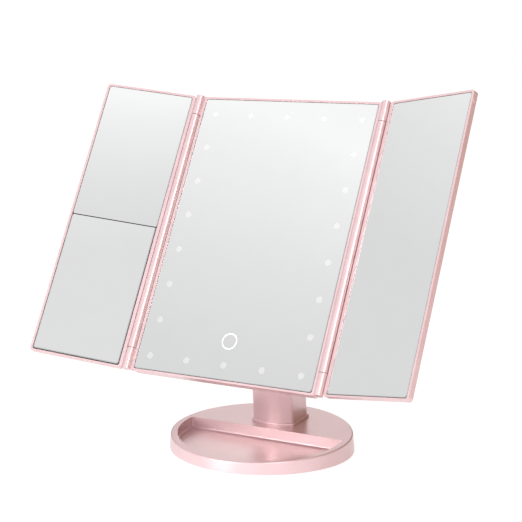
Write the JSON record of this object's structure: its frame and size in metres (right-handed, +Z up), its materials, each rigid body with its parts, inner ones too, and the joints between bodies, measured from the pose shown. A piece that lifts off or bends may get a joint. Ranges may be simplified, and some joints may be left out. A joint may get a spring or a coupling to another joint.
{
  "type": "trifold vanity mirror",
  "caption": "Lighted vanity mirror with two folding wings on a tilting neck and an oval base with a shallow cosmetics tray.",
  "frame": {"origin": "centre of the oval base, on the surface that it stands on", "axes": "+Z up, -Y towards the user, +X to the right as seen by the user from the front"},
  "size_m": [0.334, 0.163, 0.2926],
  "materials": {
    "rose_shell": "satin metallic rose",
    "hinge_metal": "die-cast satin",
    "grey_plastic": "matt",
    "pad_rubber": "matt",
    "steel": "zinc plated",
    "circuit_board": "solder mask",
    "cell_jacket": "plain foil jacket",
    "mirror_glass": "silvered glass",
    "frosted_window": "frosted, unsilvered",
    "white_plastic": "translucent white",
    "black_plastic": "matt"
  },
  "bodies": {
    "stand": {"base_shell": "rose_shell", "base_bottom_cover": "grey_plastic", "non_slip_pad": "pad_rubber", "base_cover_screws": "steel", "usb_socket": "steel", "usb_board": "circuit_board", "usb_board_screws": "steel", "neck_collar": "rose_shell", "neck_collar_screws": "steel", "neck_front_shell": "rose_shell", "neck_rear_shell": "rose_shell", "hinge_block": "hinge_metal", "hinge_block_screws": "steel", "battery_holder": "grey_plastic", "aaa_cells": "cell_jacket", "battery_contacts": "steel", "battery_springs": "steel"},
    "battery_door": {"battery_door": "rose_shell"},
    "head": {"tilt_bracket": "rose_shell", "tilt_bracket_screws": "steel", "tilt_shaft": "steel", "tilt_shaft_nut": "steel", "friction_washers": "steel", "hinge_caps": "rose_shell", "centre_front_frame": "rose_shell", "centre_back_cover": "rose_shell", "back_cover_screws": "steel", "centre_mirror": "mirror_glass", "light_windows": "frosted_window", "touch_ring": "frosted_window", "light_diffusers": "white_plastic", "led_boards": "circuit_board", "leds": "white_plastic", "touch_sensor_board": "circuit_board", "control_board": "circuit_board", "switch_body": "grey_plastic", "left_hinge_pins": "steel", "right_hinge_pins": "steel"},
    "left_wing": {"left_wing_frame": "rose_shell", "left_wing_back": "rose_shell", "left_upper_mirror": "mirror_glass", "left_lower_mirror": "mirror_glass"},
    "right_wing": {"right_wing_frame": "rose_shell", "right_wing_back": "rose_shell", "right_mirror": "mirror_glass"},
    "power_switch": {"switch_knob": "black_plastic"}
  },
  "joints": [
    {"name": "head_tilt", "type": "hinge", "parent": "stand", "child": "head", "pos_m": [0, 0.01286, 0.148], "axis": [1, 0, 0], "range_deg": [-60, 32]},
    {"name": "left_wing_fold", "type": "hinge", "parent": "head", "child": "left_wing", "pos_m": [-0.0846, -0.06941, 0.07117], "axis": [0, 0.4955, 0.8686], "range_deg": [-13.9, 166.1]},
    {"name": "right_wing_fold", "type": "hinge", "parent": "head", "child": "right_wing", "pos_m": [0.0846, -0.06941, 0.07117], "axis": [0, -0.4955, -0.8686], "range_deg": [-18.3, 161.7]},
    {"name": "battery_door_pull", "type": "slide", "parent": "stand", "child": "battery_door", "axis": [0, 0.9945, 0.1045], "range_m": [0, 0.03]},
    {"name": "power_switch_slide", "type": "slide", "parent": "head", "child": "power_switch", "axis": [1, 0, 0], "range_m": [0, 0.003]}
  ]
}
